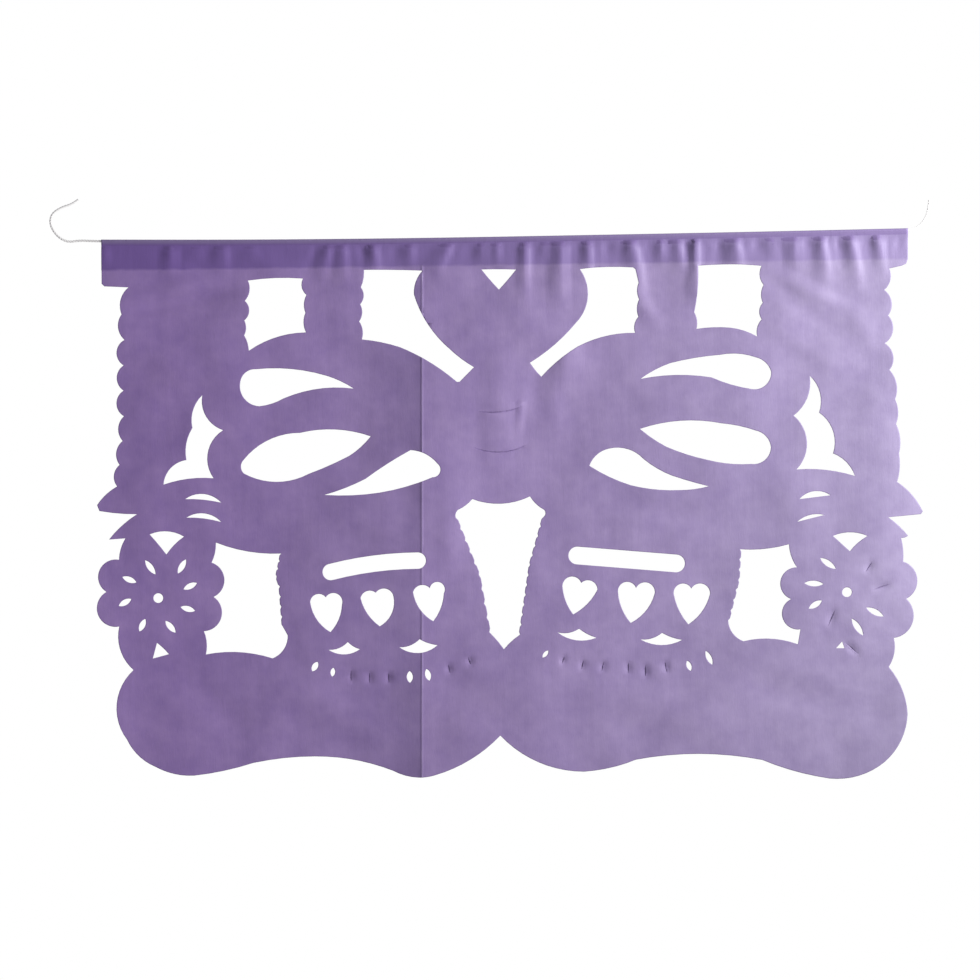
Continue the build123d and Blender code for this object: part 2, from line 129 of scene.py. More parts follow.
print("white is", srgb("#FFFFFF"))

# %% [markdown]
# ## The string's route
# The string is 1.5 mm cotton, pulled nearly straight through the roll, with a limp tail at each end. A
# NURBS curve is right for it: its control points pull the line smoothly, as a string lies, and it is
# never kinked. The points are the CAD route's. On the long run a few more let it sag by nearly two
# millimetres, as the panel's weight makes it do in the photograph.

# %% Route of the string
STEPS_PER_POINT = 24
STRING_ROUTE = [
    (-256.3, 0.0, 25.0),
    (-259.8, -0.8, 22.3),
    (-266.5, -2.0, 20.3),
    (-272.3, -2.8, 16.3),
    (-273.2, -2.8, 10.0),
    (-269.2, -2.2, 3.2),
    (-263.0, -1.2, -0.6),
    (-255.5, -0.4, 0.5),
    (-247.0, 0.0, 0.0),
    (-238.0, 0.0, -0.2),
    (-150.0, 0.0, -1.5),
    (-50.0, 0.0, -1.9),
    (60.0, 0.0, -1.4),
    (150.0, 0.0, -0.9),
    (236.5, 0.0, -0.1),
    (245.5, 0.0, 0.0),
    (251.3, 0.6, 5.2),
    (254.0, 1.4, 11.8),
    (254.6, 1.8, 18.0),
]


def smooth_line(name, points):
    """A NURBS curve object with these points as its control points, in metres."""
    curve = bpy.data.curves.new(name, "CURVE")
    curve.dimensions = "3D"
    spline = curve.splines.new("NURBS")
    spline.points.add(len(points) - 1)
    for point, place in zip(spline.points, points):
        point.co = (*place, 1)
    spline.order_u = 3
    spline.use_endpoint_u = True
    spline.resolution_u = STEPS_PER_POINT
    line = bpy.data.objects.new(name, curve)
    bpy.context.scene.collection.objects.link(line)
    return line


route = smooth_line("string_route", [Vector(p) * MM for p in STRING_ROUTE])
bpy.context.view_layer.update()
traced = bpy.data.meshes.new_from_object(route)
route_points = [v.co.copy() for v in traced.vertices]
bpy.data.objects.remove(route)

# %% [markdown]
# ## The string's three strands
# Cheap bunting string is three cotton strands laid round each other. Each strand is a tube along a
# helix that winds round the route, one turn every 5 mm, so the light catches the twist in close views.
# The helix needs a pair of directions across the route at each point. Carrying the last pair along,
# and only turning it as much as the route turns, keeps the strands from twisting up at the bends.

# %% Strands
LAY_LENGTH = 5.0 * MM
STRAND_RADIUS = 0.38 * MM
STRAND_OFFSET = 0.36 * MM
STEPS_PER_TURN = 10
STRANDS = 3


def evenly_spaced(points, step):
    """The line through the points, measured off in equal steps, with the direction at each step."""
    line = np.array(points)
    runs = np.linalg.norm(np.diff(line, axis=0), axis=1)
    along = np.concatenate([[0], np.cumsum(runs)])
    marks = np.linspace(0, along[-1], int(along[-1] / step) + 1)
    spots = np.stack([np.interp(marks, along, line[:, axis]) for axis in range(3)], axis=1)
    return marks, spots, np.gradient(spots, axis=0)


def strand_points(phase):
    marks, spots, headings = evenly_spaced(route_points, LAY_LENGTH / STEPS_PER_TURN)
    across = Vector((0, 1, 0))
    points = []
    for mark, spot, heading in zip(marks, spots, headings):
        heading = Vector(heading).normalized()
        across = (across - heading * across.dot(heading)).normalized()
        angle = 2 * math.pi * mark / LAY_LENGTH + phase
        side = across * math.cos(angle) + heading.cross(across) * math.sin(angle)
        points.append(Vector(spot) + side * STRAND_OFFSET)
    return points


def make_string():
    curve = bpy.data.curves.new("strands", "CURVE")
    curve.dimensions = "3D"
    curve.bevel_depth = STRAND_RADIUS
    curve.bevel_resolution = 1
    curve.use_fill_caps = True
    for strand in range(STRANDS):
        points = strand_points(strand * 2 * math.pi / STRANDS)
        spline = curve.splines.new("POLY")
        spline.points.add(len(points) - 1)
        for point, place in zip(spline.points, points):
            point.co = (*place, 1)
    holder = bpy.data.objects.new("strands", curve)
    bpy.context.scene.collection.objects.link(holder)
    bpy.context.view_layer.update()
    mesh = bpy.data.meshes.new_from_object(holder)
    bpy.data.objects.remove(holder)
    mesh.shade_smooth()
    piece = bpy.data.objects.new("twisted_string", mesh)
    bpy.context.scene.collection.objects.link(piece)
    return piece


twisted_string = make_string()
print("twisted_string faces:", len(twisted_string.data.polygons))

# %% [markdown]
# ## The sheet, taken flat from the CAD panel
# The outline and all the cut-outs are already exact in the CAD node, so the sheet starts as a copy of
# its front faces below the seam, pressed flat. The copy is merged first, because a CAD node comes as
# loose triangles. The long ones can't bend, though, so a later step rules the sheet into small cells.

# %% Front of the panel, pressed flat
SEAM_DROP = 2.4 * MM
FLAP_DROP = 17.5 * MM
MERGE_REACH = 0.002 * MM
PRESSED_MERGE_REACH = 0.01 * MM
FACES_THE_FRONT = -0.4


def flat_front():
    bm = bmesh.new()
    bm.from_mesh(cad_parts["paper_panel"].data)
    bmesh.ops.remove_doubles(bm, verts=bm.verts[:], dist=MERGE_REACH)
    bm.normal_update()
    top = -SEAM_DROP - PRESSED_MERGE_REACH
    away = [f for f in bm.faces if f.normal.y > FACES_THE_FRONT or f.calc_center_median().z > top]
    bmesh.ops.delete(bm, geom=away, context="FACES")
    for vert in bm.verts:
        vert.co.y = 0
    bmesh.ops.remove_doubles(bm, verts=bm.verts[:], dist=PRESSED_MERGE_REACH)
    return bm


sheet = flat_front()
cut_area = sum(face.calc_area() for face in sheet.faces)
print("front of the sheet:", len(sheet.faces), "faces,", round(cut_area, 4), "square metres")

# %% [markdown]
# ## A rim of painted shade along every cut
# Every cut edge is painted darker for about half a millimetre, as painted shade along the edge. An
# inset along the whole outline gives those strips their own faces, and a vertex value called rim marks
# them, so the material can find them. The CAD triangles' own edges are tagged here too, to be taken
# out again once the cells are cut.

# %% Rim strips
RIM_WIDTH = 0.5 * MM


def add_rim(bm):
    diagonal = bm.edges.layers.int.new("diagonal")
    rim = bm.verts.layers.float.new("rim")
    for edge in bm.edges:
        edge[diagonal] = 0 if edge.is_boundary else 1
    bmesh.ops.inset_region(bm, faces=bm.faces[:], thickness=RIM_WIDTH, use_boundary=True)
    for vert in bm.verts:
        vert[rim] = 1.0 if vert.is_boundary else 0.0


add_rim(sheet)
print("with the rim:", len(sheet.faces), "faces")

# %% [markdown]
# ## Ruling the sheet into cells
# A flat sheet bends only where it has vertices, so straight cuts rule it into cells, as with a knife
# and a ruler: 4 mm apart over most of it, 2 mm in the hem, and closer still round the shut slits,
# where the bends are small. Each cut is a bisect_plane. A second run across the hem falls halfway
# between the first. The crease from packing gets its own few lines, so that it stays crisp, and so
# does the flap's lower edge. Those two lists are in millimetres from the crease and from the edge, and
# the boxes round the shut slits are (x0, x1, z0, z1) in millimetres.

# %% Cells
CREASE_X = -50.2 * MM
CREASE_LEAN = -math.tan(HEM_ROLL)
CREASE_TOP = 17.0 * MM
CREASE_LINES = (-1.6, -0.8, -0.3, 0.3, 0.8, 1.6)
CREASE_REACH = 8 * MM
BELOW_SHEET = -0.34

CELL = 4 * MM
HEM_CELL = 2 * MM
SLIT_CELL_WIDTH = 1.3 * MM
SLIT_CELL_HEIGHT = 1.6 * MM
HEM_FOOT = -48 * MM
HEM_BOX = (-0.26, 0.26, HEM_FOOT, 0)
SHEET_ROWS = (-332 * MM, HEM_FOOT)
HEM_ROWS = (-46 * MM, -4 * MM)
FLAP_ROWS = (-1.0, 0.6)
COLUMNS = (-248 * MM, 249 * MM)
HALFWAY_COLUMNS = (-246 * MM, 247 * MM)
SLIT_BOXES = [
    (-98, -16, -272, -248),
    (20, 104, -268, -248),
    (182, 234, -256, -192),
    (-24, 14, -131, -100),
]


def ruled(low, high, spacing):
    return [low + spacing * i for i in range(int((high - low) / spacing) + 1)]


def cut(bm, normal, places, inside=None):
    """Cuts the faces whose middles lie inside (x0, x1, z0, z1) along parallel lines."""
    faces = bm.faces[:]
    if inside:
        x0, x1, z0, z1 = inside
        middles = [(f, f.calc_center_median()) for f in faces]
        faces = [f for f, c in middles if x0 < c.x < x1 and z0 < c.z < z1]
    geom = faces + list({e for f in faces for e in f.edges}) + list({v for f in faces for v in f.verts})
    normal = Vector(normal).normalized()
    for place in places:
        done = bmesh.ops.bisect_plane(bm, geom=geom, dist=1e-7, plane_co=normal * place, plane_no=normal)
        geom = done["geom"]


def cut_all_cells(bm):
    across, down = (1, 0, 0), (0, 0, 1)
    cut(bm, down, ruled(*SHEET_ROWS, CELL) + ruled(*HEM_ROWS, HEM_CELL))
    cut(bm, down, [-FLAP_DROP + off * MM for off in FLAP_ROWS])
    cut(bm, across, ruled(*COLUMNS, CELL))
    cut(bm, across, ruled(*HALFWAY_COLUMNS, CELL), HEM_BOX)
    for x0, x1, z0, z1 in SLIT_BOXES:
        box = (x0 * MM, x1 * MM, z0 * MM, z1 * MM)
        cut(bm, across, ruled(x0 * MM, x1 * MM, SLIT_CELL_WIDTH), box)
        cut(bm, down, ruled(z0 * MM, z1 * MM, SLIT_CELL_HEIGHT), box)
    near_crease = (CREASE_X - CREASE_REACH, CREASE_X + CREASE_REACH, BELOW_SHEET, -CREASE_TOP)
    lean = (1, 0, CREASE_LEAN)
    foot = Vector((CREASE_X, 0, 0)).dot(Vector(lean).normalized())
    cut(bm, lean, [foot + off * MM for off in CREASE_LINES], near_crease)


cut_all_cells(sheet)
print("ruled:", len(sheet.faces), "faces")

# %% [markdown]
# The tagged edges of the CAD triangles now lie across the cells for nothing. Dissolving them leaves one
# face per cell, and then the points that are left on straight lines between two cells go too.

# %% Take out the old triangle edges
def take_out_diagonals(bm):
    diagonal = bm.edges.layers.int["diagonal"]
    old = [e for e in bm.edges if e[diagonal] and len(e.link_faces) == 2]
    bmesh.ops.dissolve_edges(bm, edges=old, use_verts=False, use_face_split=False)
    loose = [v for v in bm.verts if len(v.link_edges) == 2 and not v.is_boundary]
    bmesh.ops.dissolve_verts(bm, verts=loose)


take_out_diagonals(sheet)
print("cells:", len(sheet.faces), "faces,", len(sheet.verts), "points")

# %% [markdown]
# ## The rolled edge and the flap behind
# The paper goes up over the string and down behind it, where it is glued. So the top edge of the flat
# sheet is extruded to where it meets the string, spun over the top, brought back to the seam and then
# drawn down as the flap, in steps of about 2 mm that bend with the hem. Each step moves a little to the
# left as well, because the panel's ends aren't quite square to the string.

# %% Roll and flap
ROLL_RADIUS = 0.98 * MM
FLAP_GAP = 0.22 * MM
FLAP_STEP = 2.0 * MM
ROLL_STEPS = 9


def draw_out(bm, edges, move):
    """Extrudes a run of edges and moves the new ones. Returns the new edges."""
    made = bmesh.ops.extrude_edge_only(bm, edges=edges)["geom"]
    verts = [g for g in made if isinstance(g, bmesh.types.BMVert)]
    bmesh.ops.translate(bm, verts=verts, vec=move)
    ends = [g for g in made if isinstance(g, bmesh.types.BMEdge) and g.is_boundary]
    moved = set(verts)
    return [e for e in ends if all(v in moved for v in e.verts)]


def roll_over(bm):
    top = -SEAM_DROP - 2 * PRESSED_MERGE_REACH
    seam = [e for e in bm.edges if e.is_boundary and all(v.co.z > top for v in e.verts)]
    up = math.acos(ROLL_RADIUS / SEAM_DROP)
    touch = Vector((0, -ROLL_RADIUS * math.sin(up), -ROLL_RADIUS * math.cos(up)))
    front = draw_out(bm, seam, touch + Vector((0, 0, SEAM_DROP)))
    turn = -(2 * math.pi - 2 * up)
    spun = bmesh.ops.spin(bm, geom=front, cent=(0, 0, 0), axis=(1, 0, 0), steps=ROLL_STEPS, angle=turn)
    over = [g for g in spun["geom_last"] if isinstance(g, bmesh.types.BMEdge)]
    back = draw_out(bm, over, Vector((0, FLAP_GAP + touch.y, -SEAM_DROP - touch.z)))
    steps = round((FLAP_DROP - SEAM_DROP) / FLAP_STEP)
    fall = (FLAP_DROP - SEAM_DROP) / steps
    for _ in range(steps):
        back = draw_out(bm, back, Vector((-fall * math.tan(HEM_ROLL), 0, -fall)))
    return len(seam)


seam_edges = roll_over(sheet)
bmesh.ops.recalc_face_normals(sheet, faces=sheet.faces[:])
sheet.normal_update()
if sum(f.normal.y for f in sheet.faces if f.calc_center_median().z < HEM_FOOT) > 0:
    bmesh.ops.reverse_faces(sheet, faces=sheet.faces[:])
sheet_area = sum(face.calc_area() for face in sheet.faces)
print("seam edges:", seam_edges, " sheet with roll and flap:", round(sheet_area, 4), "square metres")

# %% [markdown]
# ## Values that the material reads
# The flat position of each point is kept as a UV map in metres, so that the fibres and blotches follow
# the paper into every fold, and so that the material knows how far down the flap doubles the sheet.
# The flap's flat positions go on past the top edge. Two values are kept as well: on_string marks the
# roll, where the white string shows through a single layer, and the other marks the crease, for a painted
# highlight on its ridge between two lines of painted shade. It is a table of distances in millimetres and
# values.

# %% Flat map, roll and crease
ROLL_FOOT = -1.6 * MM
PAPER_IN_ROLL = 4 * MM
CREASE_LIGHT_AND_SHADE_AT = (0.0, 0.35, 0.85, 1.7)
CREASE_LIGHT_AND_SHADE = (1.0, 0.9, -1.0, 0.0)


def keep_flat_map(bm):
    flat = bm.loops.layers.uv.new("flat")
    on_string = bm.verts.layers.float.new("on_string")
    worn = bm.verts.layers.float.new("worn")
    for vert in bm.verts:
        vert[on_string] = 1.0 if vert.co.z > ROLL_FOOT else 0.0
        off = abs((vert.co.x - CREASE_X) * math.cos(HEM_ROLL) - vert.co.z * math.sin(HEM_ROLL)) / MM
        # A painted highlight on the crease's ridge and painted shade beside it.
        vert[worn] = float(np.interp(off, CREASE_LIGHT_AND_SHADE_AT, CREASE_LIGHT_AND_SHADE)) * (vert.co.z < -CREASE_TOP)
    for face in bm.faces:
        for loop in face.loops:
            place = loop.vert.co
            behind = place.y > 0.5 * FLAP_GAP
            loop[flat].uv = (place.x, PAPER_IN_ROLL - place.z if behind else place.z)


keep_flat_map(sheet)
print("mapped", len(sheet.faces), "faces")

# %% [markdown]
# ## How the paper hangs
# The sheet isn't flat. It is gathered on the string, so folds run down from the roll and fade out, and
# more tightly to the right. It has one crease from being packed, shallow waves, a fine crumple, and a
# dimple at each slit that the knife cut but didn't open. All of this is one function of the flat
# position, applied to the sheet and to the flap alike, so the flap stays on the sheet behind.
# Each hem fold below is (start x, end x, end drop, half width, height), in millimetres but for the
# height, which FOLD_DEPTH turns into millimetres. Each starts just under the roll. A positive height is
# a ridge that stands out towards the viewer, and a negative one is a valley, which is shallower.

# %% Folds of the hem
HEM_FOLDS = [
    (-240.0, -240.0, 17.0, 3.0, 0.5),
    (-207.5, -208.5, 24.0, 3.6, -0.8),
    (-201.0, -201.5, 25.0, 4.2, 0.9),
    (-185.0, -186.0, 14.0, 4.0, 0.4),
    (-169.0, -170.0, 22.0, 4.5, 0.8),
    (-152.0, -150.0, 15.0, 5.0, 0.4),
    (-136.0, -137.0, 18.0, 5.0, -0.4),
    (-112.5, -121.0, 28.0, 4.2, -1.2),
    (-106.0, -112.0, 26.0, 4.2, 0.9),
    (-97.5, -97.0, 30.0, 3.6, 0.8),
    (-86.5, -84.5, 27.0, 3.4, -1.2),
    (-79.0, -78.0, 24.0, 3.8, 1.0),
    (-66.0, -67.0, 22.0, 4.5, -0.7),
    (-57.0, -58.0, 19.0, 4.0, 0.8),
    (-33.0, -43.5, 24.0, 4.2, 1.0),
    (-22.0, -25.0, 20.0, 3.5, -0.6),
    (-13.5, -14.0, 20.0, 3.0, 0.7),
    (-5.0, -5.0, 20.0, 3.0, 0.7),
    (12.5, 11.5, 44.0, 3.0, 1.1),
    (24.5, 24.0, 20.0, 3.4, 0.6),
    (33.5, 33.0, 46.0, 4.4, 1.5),
    (43.5, 43.5, 22.0, 3.2, -0.8),
    (50.0, 49.5, 30.0, 3.2, 1.1),
    (60.0, 61.0, 26.0, 3.5, -0.8),
    (76.0, 82.0, 42.0, 4.6, 1.3),
    (87.0, 86.5, 24.0, 3.0, -0.8),
    (93.0, 94.0, 20.0, 3.0, 0.8),
    (103.0, 106.5, 26.0, 3.4, 1.0),
    (109.0, 108.0, 30.0, 2.6, -0.8),
    (114.5, 113.5, 44.0, 3.0, 1.3),
    (127.0, 126.5, 24.0, 4.0, -0.8),
    (138.0, 140.0, 30.0, 5.0, 1.2),
    (151.0, 150.0, 22.0, 4.0, -0.8),
    (160.0, 163.0, 22.0, 3.2, 0.6),
    (173.0, 175.0, 28.0, 4.2, 1.1),
    (181.5, 184.0, 24.0, 3.2, -0.8),
    (189.5, 193.0, 34.0, 3.8, 1.2),
    (198.5, 202.0, 28.0, 3.2, -0.9),
    (207.5, 212.5, 38.0, 3.8, 1.2),
    (216.0, 221.5, 30.0, 3.2, -0.9),
    (223.5, 226.5, 30.0, 3.6, 1.1),
    (234.0, 235.5, 24.0, 3.0, -0.6),
]
print(len(HEM_FOLDS), "folds in the hem")

# %% [markdown]
# The sheet has a few long soft folds of its own below the hem. Each is (x, drop, end x, end drop, half
# width, height), and fades at both ends.

# %% Long soft folds
SOFT_FOLDS = [
    (150.0, 18.0, 212.0, 52.0, 7.0, 1.2),
    (206.0, 44.0, 222.0, 76.0, 8.0, 0.9),
    (160.0, 34.0, 204.0, 66.0, 7.0, -0.8),
    (150.0, 48.0, 200.0, 84.0, 8.0, 0.8),
    (-238.0, 44.0, -152.0, 30.0, 7.0, -1.7),
    (-238.0, 36.0, -160.0, 22.0, 7.0, 1.0),
    (-4.0, 60.0, -6.0, 146.0, 15.0, 1.3),
    (38.0, 60.0, 30.0, 96.0, 9.0, 1.4),
    (74.0, 30.0, 92.0, 60.0, 7.0, 1.0),
    (-232.0, 60.0, -170.0, 92.0, 14.0, 0.9),
    (10.0, 78.0, 6.0, 122.0, 4.0, 0.7),
    (25.0, 80.0, 30.0, 124.0, 5.0, 0.7),
    (18.0, 76.0, 16.0, 124.0, 4.0, -0.6),
    (-34.0, 152.0, -38.0, 210.0, 12.0, 1.2),
    (-62.0, 118.0, -60.0, 176.0, 12.0, -0.9),
    (-150.0, 260.0, -70.0, 306.0, 16.0, 0.9),
    (-205.0, 262.0, -150.0, 300.0, 14.0, -0.8),
    (40.0, 272.0, 150.0, 300.0, 16.0, 0.9),
    (120.0, 262.0, 222.0, 292.0, 14.0, -0.8),
    (-140.0, 104.0, -70.0, 100.0, 11.0, 0.8),
    (60.0, 96.0, 150.0, 102.0, 11.0, 0.8),
    (60.0, 160.0, 130.0, 174.0, 10.0, -0.8),
    (-120.0, 168.0, -60.0, 176.0, 10.0, 0.8),
]
print(len(SOFT_FOLDS), "long soft folds")

# %% [markdown]
# The knife also cut slits that didn't open. Each is (x, drop, end x, end drop), the ends of the slit in
# millimetres. The two slits of the bow's knot are long and curved. Their fifth number says how far the
# curve rises above the straight line, and is negative because both sag below it.

# %% Shut slits
SHUT_SLITS = [
    (-96.5, 266.3, -96.4, 259.7),
    (-85.4, 267.5, -85.3, 260.7),
    (-73.9, 267.4, -73.8, 261.0),
    (-37.1, 262.1, -38.2, 256.7),
    (-24.6, 257.1, -26.1, 252.7),
    (30.0, 257.4, 31.5, 252.8),
    (41.6, 260.9, 43.0, 255.3),
    (53.7, 262.2, 55.2, 256.4),
    (69.7, 263.6, 69.8, 257.0),
    (80.1, 266.0, 80.2, 259.0),
    (92.9, 263.5, 91.8, 257.1),
    (212.8, 204.9, 216.8, 198.9),
    (217.2, 215.7, 228.1, 212.2),
    (189.9, 237.0, 194.2, 227.4),
    (199.5, 246.7, 208.9, 255.2),
]
KNOT_SLITS = [
    (-18.3, 105.4, 8.7, 102.5, -2.15),
    (-22.3, 126.6, 10.7, 125.7, -4.05),
]
print(len(SHUT_SLITS), "straight slits and", len(KNOT_SLITS), "curved ones")

# %% [markdown]
# Now the function itself. It works on all points at once with arrays, in millimetres, and drop is how
# far a point is below the string. Two small tools come first. A fold is a smooth hump across its line,
# and for that each point needs to know how far along the line it is, and how far beside it.

# %% Humps and lines
def hump(distance, half_width):
    """One at the line, nothing past the half width, smooth between."""
    return np.clip(1 - (distance / half_width) ** 2, 0, 1) ** 2


def along_and_across(x, drop, x0, d0, x1, d1):
    """How far along the line each point is, from 0 to 1, how far beside it, and the line's length.

    Beside is positive on the right of a line that runs down, and above a line that runs to the right.
    """
    run = np.array([x1 - x0, d1 - d0])
    length = np.hypot(*run)
    along = ((x - x0) * run[0] + (drop - d0) * run[1]) / length**2
    across = ((x - x0) * run[1] - (drop - d0) * run[0]) / length
    return along, across, length


print("a hump is", hump(0.5, 1), "high halfway out")

# %% [markdown]
# A hem fold is steep on the side that faces the light and gentle on the other, because the paper hangs
# from its ridge. It widens and fades on its way down. Right under the roll there are small puckers too,
# a wave with a spacing of about 7 mm that wanders, and they are strongest at the right.

# %% Folds and puckers of the hem
FOLD_START = 2.4
FOLD_DEPTH = 2.1
VALLEY_SHARE = 0.45
FOLD_WIDENING = 0.5
GENTLE_SIDE = 2.0
STEEP_SIDE = 0.85
FOLD_FADE = 0.8
FULL_AFTER = 1.8

PUCKER_HEIGHT = 0.6
PUCKER_SPACING = 6.8
PUCKER_WANDER = 0.9
WANDER_LENGTH = 17.0
PUCKER_LEAN = 6.0
PUCKERS_END = 12.0
TIGHTER_FROM = -60
TIGHTER_OVER = 160
LEAST_TIGHT = 0.2


def puckers(x, drop):
    tight = np.clip((x - TIGHTER_FROM) / TIGHTER_OVER, LEAST_TIGHT, 1)
    tight *= np.clip(1 - drop / PUCKERS_END, 0, 1)
    turns = x / PUCKER_SPACING + PUCKER_WANDER * np.sin(x / WANDER_LENGTH)
    return PUCKER_HEIGHT * tight * np.sin(2 * math.pi * turns + drop / PUCKER_LEAN)


def hem_folds(x, drop):
    out = np.zeros_like(x)
    for x0, x1, end, half_width, listed in HEM_FOLDS:
        height = listed if listed > 0 else VALLEY_SHARE * listed
        along, across, _ = along_and_across(x, drop, x0, FOLD_START, x1, end)
        side = np.where(across * height < 0, GENTLE_SIDE, STEEP_SIDE)
        spread = half_width * (1 + FOLD_WIDENING * np.clip(along, 0, 1)) * side
        fade = np.clip(1 - along, 0, 1) ** FOLD_FADE
        out += FOLD_DEPTH * height * hump(across, spread) * fade
    out += puckers(x, drop)
    return out * np.clip((drop - FOLD_START) / FULL_AFTER, 0, 1)


print("hem folds up to", round(FOLD_DEPTH * max(fold[-1] for fold in HEM_FOLDS), 2), "mm high")

# %% [markdown]
# A long soft fold is a hump across its line and along it too, and runs out a little past both ends. The
# reach is a share of the line's length, from its middle.

# %% Bend of the long soft folds
SOFT_REACH = 0.62


def soft_folds(x, drop):
    out = np.zeros_like(x)
    for x0, d0, x1, d1, half_width, height in SOFT_FOLDS:
        along, across, _ = along_and_across(x, drop, x0, d0, x1, d1)
        out += height * hump(across, half_width) * hump(along - 0.5, SOFT_REACH)
    return out


print("soft folds up to", max(fold[-1] for fold in SOFT_FOLDS), "mm high")

# %% [markdown]
# A slit that stays shut shows as a dimple: the paper beside it is pressed back by a fraction of a
# millimetre. At the knot, the strip below the cut stands forward at the left end, where it catches the
# light, and back at the right end, where it is shaded.

# %% Dimples at the shut slits
DIMPLE_DEPTH = 0.9
DIMPLE_REACH = 2.3
DIMPLE_END = 2.0
KNOT_STEP = 1.0
KNOT_LIP = 0.7
KNOT_REACH = 3.5
KNOT_TURN = 2.4
KNOT_ENDS = 0.56


def dimples(x, drop):
    out = np.zeros_like(x)
    for x0, d0, x1, d1 in SHUT_SLITS:
        along, across, length = along_and_across(x, drop, x0, d0, x1, d1)
        past = np.abs(along - 0.5) * length / (0.5 * length + DIMPLE_END)
        out -= DIMPLE_DEPTH * np.exp(-((across / DIMPLE_REACH) ** 2)) * hump(past, 1)
    for x0, d0, x1, d1, bulge in KNOT_SLITS:
        along, across, length = along_and_across(x, drop, x0, d0, x1, d1)
        line = across - bulge * (1 - (2 * along - 1) ** 2)
        step = np.tanh(line / KNOT_LIP) * np.exp(-((line / KNOT_REACH) ** 2))
        turned = np.clip(KNOT_TURN * along - 1, -1, 1)
        out += KNOT_STEP * step * turned * hump(along - 0.5, KNOT_ENDS)
    return out


print("dimples", DIMPLE_DEPTH, "mm deep, steps at the knot up to", KNOT_STEP, "mm")

# %% [markdown]
# The CAD slits are half a millimetre open, so their two lips are drawn together until they overlap a
# little, one just before the other. A lip is a run of points on the sheet's edge, close to the slit's
# line. The points at the two ends of a slit stay where they are.

# %% Closed lips
LIP_ENDS = 0.02
LIP_REACH = 0.8
LIP_OVERLAP = 0.08
LIP_STEP = 0.2


def close_slits(place, lips):
    """Moves the lips in place and returns how many points each slit had."""
    found = []
    for x0, d0, x1, d1, bulge in [(*slit, 0.0) for slit in SHUT_SLITS] + KNOT_SLITS:
        x, drop = place[:, 0] / MM, -place[:, 2] / MM
        along, across, length = along_and_across(x, drop, x0, d0, x1, d1)
        line = across - bulge * (1 - (2 * along - 1) ** 2)
        here = lips & (np.abs(line) < LIP_REACH) & (along > LIP_ENDS) & (along < 1 - LIP_ENDS)
        middle = np.median(line[here]) if here.any() else 0.0
        side = np.where(line > middle, 1.0, -1.0) * here
        shift = (middle - LIP_OVERLAP * side - line) * here * MM
        place[:, 0] += shift * (d1 - d0) / length
        place[:, 2] += shift * (x1 - x0) / length
        place[:, 1] += side * LIP_STEP * MM * np.clip(4 * along * (1 - along), 0, 1)
        found.append(int(here.sum()))
    return found


print("lips overlap by", 2 * LIP_OVERLAP, "mm")

# %% [markdown]
# The packing crease is a fine ridge, and the sheet falls away from it to both sides: quickly on the left,
# which turns that side from the light, and slowly on the right. The rest is shallow waves, edges that
# curl, and a crumple of two sizes from a noise.

# %% Crease, waves and crumple
CREASE_RIDGE = 0.28
RIDGE_REACH = 0.8
FLANK_HEIGHT = 6.0
LEFT_FLANK = 30.0
RIGHT_FLANK = 110.0
FLANK_START = 6
FLANK_GROWTH = 50

LONG_WAVE = 1.6
LONG_ACROSS = 47
LONG_DOWN = 61
LONG_PHASE = (0.9, 0.4)
LONG_GROWTH = 120
SHORT_WAVE = 0.9
SHORT_ACROSS = 23
SHORT_DOWN = 37
SHORT_GROWTH = 40
RIGHT_CURL = 0.0035
RIGHT_CURL_FROM = 226
LEFT_CURL = 0.0016
LEFT_CURL_FROM = 222

COARSE_CRUMPLE = 1.1
COARSE_SIZE = 26
FINE_CRUMPLE = 0.16
FINE_WIDTH = 9
FINE_LENGTH = 12
COARSE_LAYER = 3.1
FINE_LAYER = 8.4
CRUMPLE_START = 4
CRUMPLE_GROWTH = 12


def crease(x, drop):
    away = (x - CREASE_X / MM) * math.cos(HEM_ROLL) + drop * math.sin(HEM_ROLL)
    ridge = CREASE_RIDGE * np.clip(1 - np.abs(away) / RIDGE_REACH, 0, 1)
    flanks = FLANK_HEIGHT * np.exp(-np.abs(away) / np.where(away < 0, LEFT_FLANK, RIGHT_FLANK))
    grown = np.clip((drop - FLANK_START) / FLANK_GROWTH, 0, 1)
    return ridge * (drop > CREASE_TOP / MM) + flanks * grown


def waves(x, drop):
    free = np.clip(drop / LONG_GROWTH, 0, 1)
    start_x, start_drop = LONG_PHASE
    out = LONG_WAVE * free * np.sin(x / LONG_ACROSS + start_x) * np.cos(drop / LONG_DOWN + start_drop)
    out += SHORT_WAVE * np.clip(drop / SHORT_GROWTH, 0, 1) * np.sin(x / SHORT_ACROSS + drop / SHORT_DOWN)
    out -= RIGHT_CURL * np.clip(x - RIGHT_CURL_FROM, 0, None) ** 2
    out += LEFT_CURL * np.clip(-x - LEFT_CURL_FROM, 0, None) ** 2 * free
    return out


def crumple(x, drop):
    out = np.zeros_like(x)
    for i, (a, b) in enumerate(zip(x, drop)):
        coarse = noise.noise((a / COARSE_SIZE, b / COARSE_SIZE, COARSE_LAYER))
        fine = noise.noise((a / FINE_WIDTH, b / FINE_LENGTH, FINE_LAYER))
        out[i] = COARSE_CRUMPLE * coarse + FINE_CRUMPLE * fine
    return out * np.clip((drop - CRUMPLE_START) / CRUMPLE_GROWTH, 0, 1)


print("the crease stands", FLANK_HEIGHT, "mm before the flat sheet")

# %% [markdown]
# The points go through it now. Everything fades in from the seam, so the roll stays round the string. In
# the hem everything also drops with the string's sag, which is read off the string's straight run and
# fades out below, where the photograph shows the pattern undisturbed.

# %% Hang the sheet
STRAIGHT_HALF = 0.246
SAG_LIMIT = 3 * MM
SAG_FADE = 20
OUT_FROM_SEAM = 2.0


def sag_of_string(x):
    straight = [p for p in route_points if abs(p.x) < STRAIGHT_HALF and abs(p.z) < SAG_LIMIT]
    straight = sorted((p.x, p.z) for p in straight)
    return np.interp(x, [p[0] for p in straight], [p[1] for p in straight])


